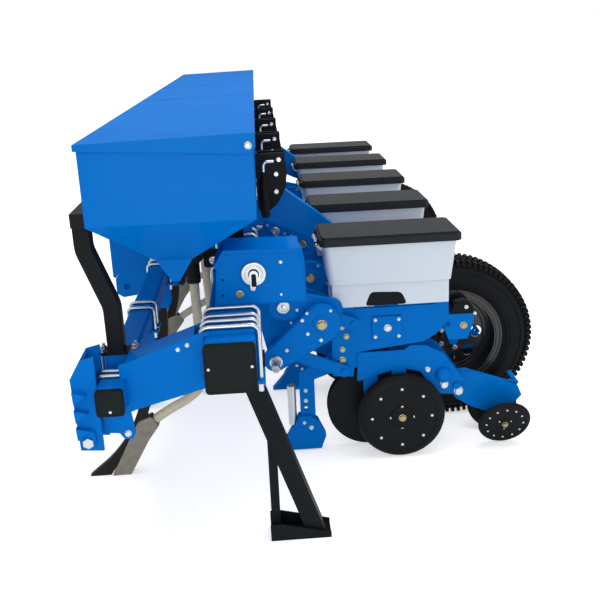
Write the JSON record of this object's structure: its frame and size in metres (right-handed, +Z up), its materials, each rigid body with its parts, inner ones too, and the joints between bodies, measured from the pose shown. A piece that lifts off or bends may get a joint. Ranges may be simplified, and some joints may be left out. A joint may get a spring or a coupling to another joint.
{
  "type": "pneumatic seeder",
  "caption": "Toolbar seed drill on a tractor's three-point linkage, with a long fertiliser hopper, white seed boxes, disc openers, gauge wheels and press wheels, parked on stands.",
  "frame": {"origin": "middle of the machine's outline, at ground level", "axes": "+X to the rear, +Y to the machine's right-hand side, +Z up"},
  "size_m": [1.8448, 4.112, 1.363],
  "materials": {
    "blue_paint": "gloss",
    "black_paint": "satin",
    "black_plastic": "satin",
    "lid_plastic": "moulded",
    "white_plastic": "satin",
    "zinc_steel": "zinc plated",
    "tyre_rubber": "matte",
    "wheel_black": "satin",
    "hose_cream": "woven and ribbed",
    "dark_shank": "worn"
  },
  "bodies": {
    "seeder": {"main_beam": "blue_paint", "beam_caps": "black_plastic", "front_beam": "blue_paint", "parking_stands": "black_paint", "headstock": "blue_paint", "fertiliser_hopper": "blue_paint", "hopper_posts": "black_paint", "fertiliser_meters": "black_plastic", "tine_clamps": "blue_paint", "fertiliser_tines": "dark_shank", "marker_brackets": "blue_paint", "speed_box": "blue_paint", "speed_dial": "zinc_steel", "drive_shaft": "zinc_steel", "wheel_arms": "blue_paint", "unit_brackets": "blue_paint", "unit_frames": "blue_paint", "seed_hoppers": "white_plastic", "seed_meters": "black_plastic", "clod_pushers": "blue_paint", "chain_cases": "blue_paint", "u_bolts": "zinc_steel", "fan_housing": "black_paint", "fertiliser_hose_1": "hose_cream", "fertiliser_hose_2": "hose_cream", "fertiliser_hose_3": "hose_cream", "fertiliser_hose_4": "hose_cream", "fertiliser_hose_5": "hose_cream"},
    "hopper_lid_left": {"hopper_lid_left": "blue_paint"},
    "hopper_lid_right": {"hopper_lid_right": "blue_paint"},
    "ground_wheel_left": {"ground_tyre_left": "tyre_rubber", "ground_rim_left": "black_paint"},
    "ground_wheel_right": {"ground_tyre_right": "tyre_rubber", "ground_rim_right": "black_paint"},
    "gauge_wheels_1": {"gauge_wheels_1": "wheel_black"},
    "gauge_wheels_2": {"gauge_wheels_2": "wheel_black"},
    "gauge_wheels_3": {"gauge_wheels_3": "wheel_black"},
    "gauge_wheels_4": {"gauge_wheels_4": "wheel_black"},
    "gauge_wheels_5": {"gauge_wheels_5": "wheel_black"},
    "opener_discs_1": {"opener_discs_1": "black_paint"},
    "opener_discs_2": {"opener_discs_2": "black_paint"},
    "opener_discs_3": {"opener_discs_3": "black_paint"},
    "opener_discs_4": {"opener_discs_4": "black_paint"},
    "opener_discs_5": {"opener_discs_5": "black_paint"},
    "press_wheel_left_1": {"press_wheel_left_1": "wheel_black"},
    "press_wheel_left_2": {"press_wheel_left_2": "wheel_black"},
    "press_wheel_left_3": {"press_wheel_left_3": "wheel_black"},
    "press_wheel_left_4": {"press_wheel_left_4": "wheel_black"},
    "press_wheel_left_5": {"press_wheel_left_5": "wheel_black"},
    "press_wheel_right_1": {"press_wheel_right_1": "wheel_black"},
    "press_wheel_right_2": {"press_wheel_right_2": "wheel_black"},
    "press_wheel_right_3": {"press_wheel_right_3": "wheel_black"},
    "press_wheel_right_4": {"press_wheel_right_4": "wheel_black"},
    "press_wheel_right_5": {"press_wheel_right_5": "wheel_black"},
    "seed_lid_1": {"seed_lid_1": "lid_plastic"},
    "seed_lid_2": {"seed_lid_2": "lid_plastic"},
    "seed_lid_3": {"seed_lid_3": "lid_plastic"},
    "seed_lid_4": {"seed_lid_4": "lid_plastic"},
    "seed_lid_5": {"seed_lid_5": "lid_plastic"}
  },
  "joints": [
    {"name": "hopper_lid_left_hinge", "type": "hinge", "parent": "seeder", "child": "hopper_lid_left", "pos_m": [-0.2305, -1.191, 1.328], "axis": [0, 1, 0], "range_deg": [0, 85]},
    {"name": "hopper_lid_right_hinge", "type": "hinge", "parent": "seeder", "child": "hopper_lid_right", "pos_m": [-0.2305, 1.191, 1.328], "axis": [0, 1, 0], "range_deg": [0, 85]},
    {"name": "ground_wheel_left_spin", "type": "hinge", "parent": "seeder", "child": "ground_wheel_left", "pos_m": [0.5775, -0.9, 0.345], "axis": [0, 1, 0], "continuous": true},
    {"name": "ground_wheel_right_spin", "type": "hinge", "parent": "seeder", "child": "ground_wheel_right", "pos_m": [0.5775, 0.9, 0.345], "axis": [0, 1, 0], "continuous": true},
    {"name": "gauge_wheels_1_spin", "type": "hinge", "parent": "seeder", "child": "gauge_wheels_1", "pos_m": [0.2985, -1.2, 0.172], "axis": [0, 1, 0], "continuous": true},
    {"name": "gauge_wheels_2_spin", "type": "hinge", "parent": "seeder", "child": "gauge_wheels_2", "pos_m": [0.2985, -0.6, 0.172], "axis": [0, 1, 0], "continuous": true},
    {"name": "gauge_wheels_3_spin", "type": "hinge", "parent": "seeder", "child": "gauge_wheels_3", "pos_m": [0.2985, 0, 0.172], "axis": [0, 1, 0], "continuous": true},
    {"name": "gauge_wheels_4_spin", "type": "hinge", "parent": "seeder", "child": "gauge_wheels_4", "pos_m": [0.2985, 0.6, 0.172], "axis": [0, 1, 0], "continuous": true},
    {"name": "gauge_wheels_5_spin", "type": "hinge", "parent": "seeder", "child": "gauge_wheels_5", "pos_m": [0.2985, 1.2, 0.172], "axis": [0, 1, 0], "continuous": true},
    {"name": "opener_discs_1_spin", "type": "hinge", "parent": "seeder", "child": "opener_discs_1", "pos_m": [0.1875, -1.2, 0.182], "axis": [0, 1, 0], "continuous": true},
    {"name": "opener_discs_2_spin", "type": "hinge", "parent": "seeder", "child": "opener_discs_2", "pos_m": [0.1875, -0.6, 0.182], "axis": [0, 1, 0], "continuous": true},
    {"name": "opener_discs_3_spin", "type": "hinge", "parent": "seeder", "child": "opener_discs_3", "pos_m": [0.1875, 0, 0.182], "axis": [0, 1, 0], "continuous": true},
    {"name": "opener_discs_4_spin", "type": "hinge", "parent": "seeder", "child": "opener_discs_4", "pos_m": [0.1875, 0.6, 0.182], "axis": [0, 1, 0], "continuous": true},
    {"name": "opener_discs_5_spin", "type": "hinge", "parent": "seeder", "child": "opener_discs_5", "pos_m": [0.1875, 1.2, 0.182], "axis": [0, 1, 0], "continuous": true},
    {"name": "press_wheel_left_1_spin", "type": "hinge", "parent": "seeder", "child": "press_wheel_left_1", "pos_m": [0.7135, -1.292, 0.10311], "axis": [0, 0.9397, 0.342], "continuous": true},
    {"name": "press_wheel_left_2_spin", "type": "hinge", "parent": "seeder", "child": "press_wheel_left_2", "pos_m": [0.7135, -0.692, 0.10311], "axis": [0, 0.9397, 0.342], "continuous": true},
    {"name": "press_wheel_left_3_spin", "type": "hinge", "parent": "seeder", "child": "press_wheel_left_3", "pos_m": [0.7135, -0.092, 0.10311], "axis": [0, 0.9397, 0.342], "continuous": true},
    {"name": "press_wheel_left_4_spin", "type": "hinge", "parent": "seeder", "child": "press_wheel_left_4", "pos_m": [0.7135, 0.508, 0.10311], "axis": [0, 0.9397, 0.342], "continuous": true},
    {"name": "press_wheel_left_5_spin", "type": "hinge", "parent": "seeder", "child": "press_wheel_left_5", "pos_m": [0.7135, 1.108, 0.10311], "axis": [0, 0.9397, 0.342], "continuous": true},
    {"name": "press_wheel_right_1_spin", "type": "hinge", "parent": "seeder", "child": "press_wheel_right_1", "pos_m": [0.7135, -1.108, 0.10311], "axis": [0, 0.9397, -0.342], "continuous": true},
    {"name": "press_wheel_right_2_spin", "type": "hinge", "parent": "seeder", "child": "press_wheel_right_2", "pos_m": [0.7135, -0.508, 0.10311], "axis": [0, 0.9397, -0.342], "continuous": true},
    {"name": "press_wheel_right_3_spin", "type": "hinge", "parent": "seeder", "child": "press_wheel_right_3", "pos_m": [0.7135, 0.092, 0.10311], "axis": [0, 0.9397, -0.342], "continuous": true},
    {"name": "press_wheel_right_4_spin", "type": "hinge", "parent": "seeder", "child": "press_wheel_right_4", "pos_m": [0.7135, 0.692, 0.10311], "axis": [0, 0.9397, -0.342], "continuous": true},
    {"name": "press_wheel_right_5_spin", "type": "hinge", "parent": "seeder", "child": "press_wheel_right_5", "pos_m": [0.7135, 1.292, 0.10311], "axis": [0, 0.9397, -0.342], "continuous": true},
    {"name": "seed_lid_1_hinge", "type": "hinge", "parent": "seeder", "child": "seed_lid_1", "pos_m": [-0.0065, -1.2, 0.868], "axis": [0, -1, 0], "range_deg": [0, 95]},
    {"name": "seed_lid_2_hinge", "type": "hinge", "parent": "seeder", "child": "seed_lid_2", "pos_m": [-0.0065, -0.6, 0.868], "axis": [0, -1, 0], "range_deg": [0, 95]},
    {"name": "seed_lid_3_hinge", "type": "hinge", "parent": "seeder", "child": "seed_lid_3", "pos_m": [-0.0065, 0, 0.868], "axis": [0, -1, 0], "range_deg": [0, 95]},
    {"name": "seed_lid_4_hinge", "type": "hinge", "parent": "seeder", "child": "seed_lid_4", "pos_m": [-0.0065, 0.6, 0.868], "axis": [0, -1, 0], "range_deg": [0, 95]},
    {"name": "seed_lid_5_hinge", "type": "hinge", "parent": "seeder", "child": "seed_lid_5", "pos_m": [-0.0065, 1.2, 0.868], "axis": [0, -1, 0], "range_deg": [0, 95]}
  ]
}
